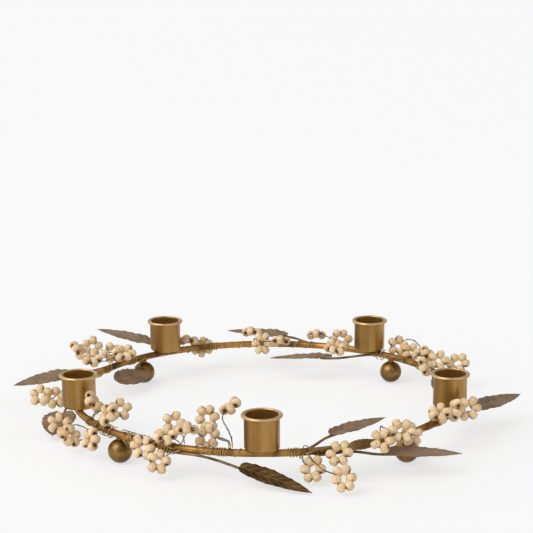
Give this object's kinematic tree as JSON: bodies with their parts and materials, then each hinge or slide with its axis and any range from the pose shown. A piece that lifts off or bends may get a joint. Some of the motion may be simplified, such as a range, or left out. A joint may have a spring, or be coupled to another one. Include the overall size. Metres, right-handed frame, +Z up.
{
  "type": "candle ring",
  "caption": "Round metal candle ring on ball feet, with rolled-rim candle cups and a garland of metal leaves and wooden bead sprays on wire.",
  "frame": {"origin": "on the floor under the centre of the ring", "axes": "+Z up, -Y towards the cup at the front, +X to the viewer's right"},
  "size_m": [0.4093, 0.3655, 0.0514],
  "materials": {
    "ring_metal": "satin, antique gold",
    "cup_metal": "satin, antique gold",
    "foot_metal": "satin, dark antique gold",
    "leaf_metal": "bronze paint with embossed veins",
    "stem_metal": "bronze gold paint",
    "bead_wood": "plain, fine grain",
    "wire_steel": "dark annealed wire"
  },
  "bodies": {
    "root": {"ring_rod": "ring_metal", "cup_saddles": "ring_metal", "foot_posts": "foot_metal", "candle_cup_1": "cup_metal", "candle_cup_2": "cup_metal", "candle_cup_3": "cup_metal", "candle_cup_4": "cup_metal", "candle_cup_5": "cup_metal", "foot_ball_1": "foot_metal", "foot_ball_2": "foot_metal", "foot_ball_3": "foot_metal", "foot_ball_4": "foot_metal", "leaf_1": "leaf_metal", "leaf_2": "leaf_metal", "leaf_3": "leaf_metal", "leaf_4": "leaf_metal", "leaf_5": "leaf_metal", "leaf_6": "leaf_metal", "leaf_7": "leaf_metal", "leaf_8": "leaf_metal", "leaf_9": "leaf_metal", "leaf_10": "leaf_metal", "leaf_11": "leaf_metal", "leaf_12": "leaf_metal", "leaf_stem_1": "stem_metal", "leaf_stem_2": "stem_metal", "leaf_stem_3": "stem_metal", "leaf_stem_4": "stem_metal", "leaf_stem_5": "stem_metal", "leaf_stem_6": "stem_metal", "leaf_stem_7": "stem_metal", "leaf_stem_8": "stem_metal", "leaf_stem_9": "stem_metal", "leaf_stem_10": "stem_metal", "leaf_stem_11": "stem_metal", "leaf_stem_12": "stem_metal", "beads_1": "bead_wood", "beads_2": "bead_wood", "beads_3": "bead_wood", "beads_4": "bead_wood", "beads_5": "bead_wood", "beads_6": "bead_wood", "beads_7": "bead_wood", "beads_8": "bead_wood", "beads_9": "bead_wood", "beads_10": "bead_wood", "beads_11": "bead_wood", "beads_12": "bead_wood", "spray_wire_1": "wire_steel", "spray_wire_2": "wire_steel", "spray_wire_3": "wire_steel", "spray_wire_4": "wire_steel", "spray_wire_5": "wire_steel", "spray_wire_6": "wire_steel", "spray_wire_7": "wire_steel", "spray_wire_8": "wire_steel", "spray_wire_9": "wire_steel", "spray_wire_10": "wire_steel", "spray_wire_11": "wire_steel", "spray_wire_12": "wire_steel"}
  },
  "joints": []
}
